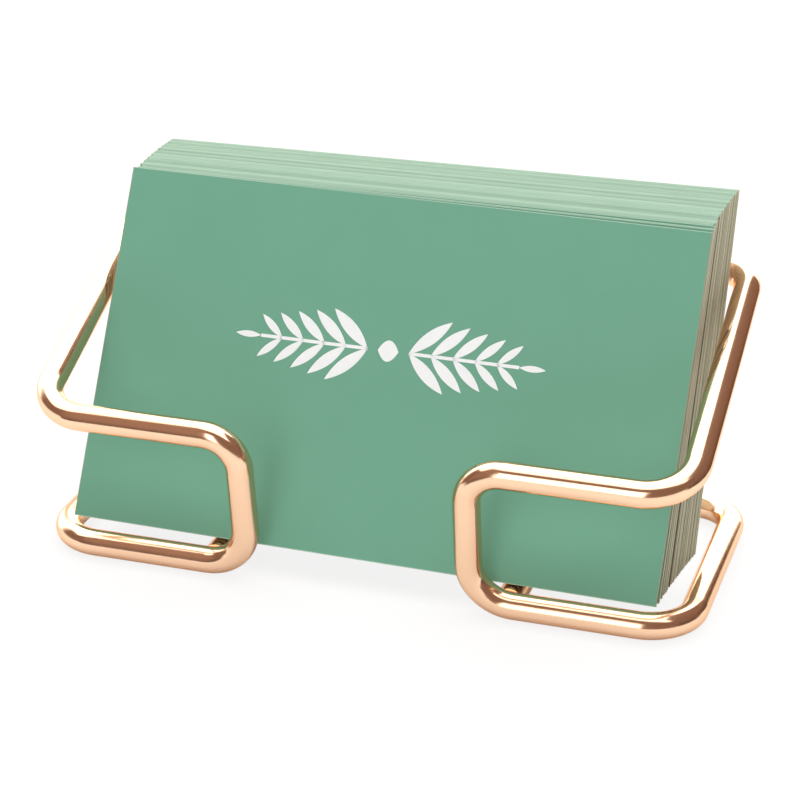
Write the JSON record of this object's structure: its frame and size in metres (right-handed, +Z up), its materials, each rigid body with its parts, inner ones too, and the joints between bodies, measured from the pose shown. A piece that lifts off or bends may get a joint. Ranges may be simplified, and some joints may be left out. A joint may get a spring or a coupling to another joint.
{
  "type": "business card holder stand",
  "caption": "Desk stand bent from polished round wire, with front hooks and sloping side arms, holding a fanned deck of plain cards that lift out.",
  "frame": {"origin": "on the table, under the middle of the whole object's box", "axes": "+X to the right as seen from the front, +Y to the back, +Z up"},
  "size_m": [0.101, 0.0472, 0.0534],
  "materials": {
    "plated_wire": "polished rose-gold plating on steel wire",
    "card_stock": "matte green card, paler cut edges"
  },
  "bodies": {
    "stand": {"left_wire": "plated_wire", "right_wire": "plated_wire", "left_card_rest": "plated_wire", "right_card_rest": "plated_wire"},
    "deck": {"card_04": "card_stock", "card_05": "card_stock", "card_06": "card_stock", "card_07": "card_stock", "card_08": "card_stock", "card_09": "card_stock", "card_10": "card_stock", "card_11": "card_stock", "card_12": "card_stock", "card_13": "card_stock", "card_14": "card_stock", "card_15": "card_stock", "card_16": "card_stock", "card_17": "card_stock", "card_18": "card_stock", "card_19": "card_stock", "card_20": "card_stock", "card_21": "card_stock", "card_22": "card_stock", "card_23": "card_stock", "card_24": "card_stock", "card_25": "card_stock", "card_26": "card_stock", "card_27": "card_stock", "card_28": "card_stock", "card_29": "card_stock", "card_30": "card_stock"},
    "front_card": {"front_card": "card_stock"},
    "second_card": {"second_card": "card_stock"},
    "third_card": {"third_card": "card_stock"}
  },
  "joints": [
    {"name": "deck_lift", "type": "slide", "parent": "stand", "child": "deck", "axis": [0, 0, 1], "range_m": [0, 0.045]},
    {"name": "front_card_slide", "type": "slide", "parent": "deck", "child": "front_card", "axis": [0.0087, 0.4939, 0.8695], "range_m": [0, 0.06]},
    {"name": "second_card_slide", "type": "slide", "parent": "deck", "child": "second_card", "axis": [0.0039, 0.4939, 0.8695], "range_m": [0, 0.06]},
    {"name": "third_card_slide", "type": "slide", "parent": "deck", "child": "third_card", "axis": [0.0039, 0.4939, 0.8695], "range_m": [0, 0.06]}
  ]
}
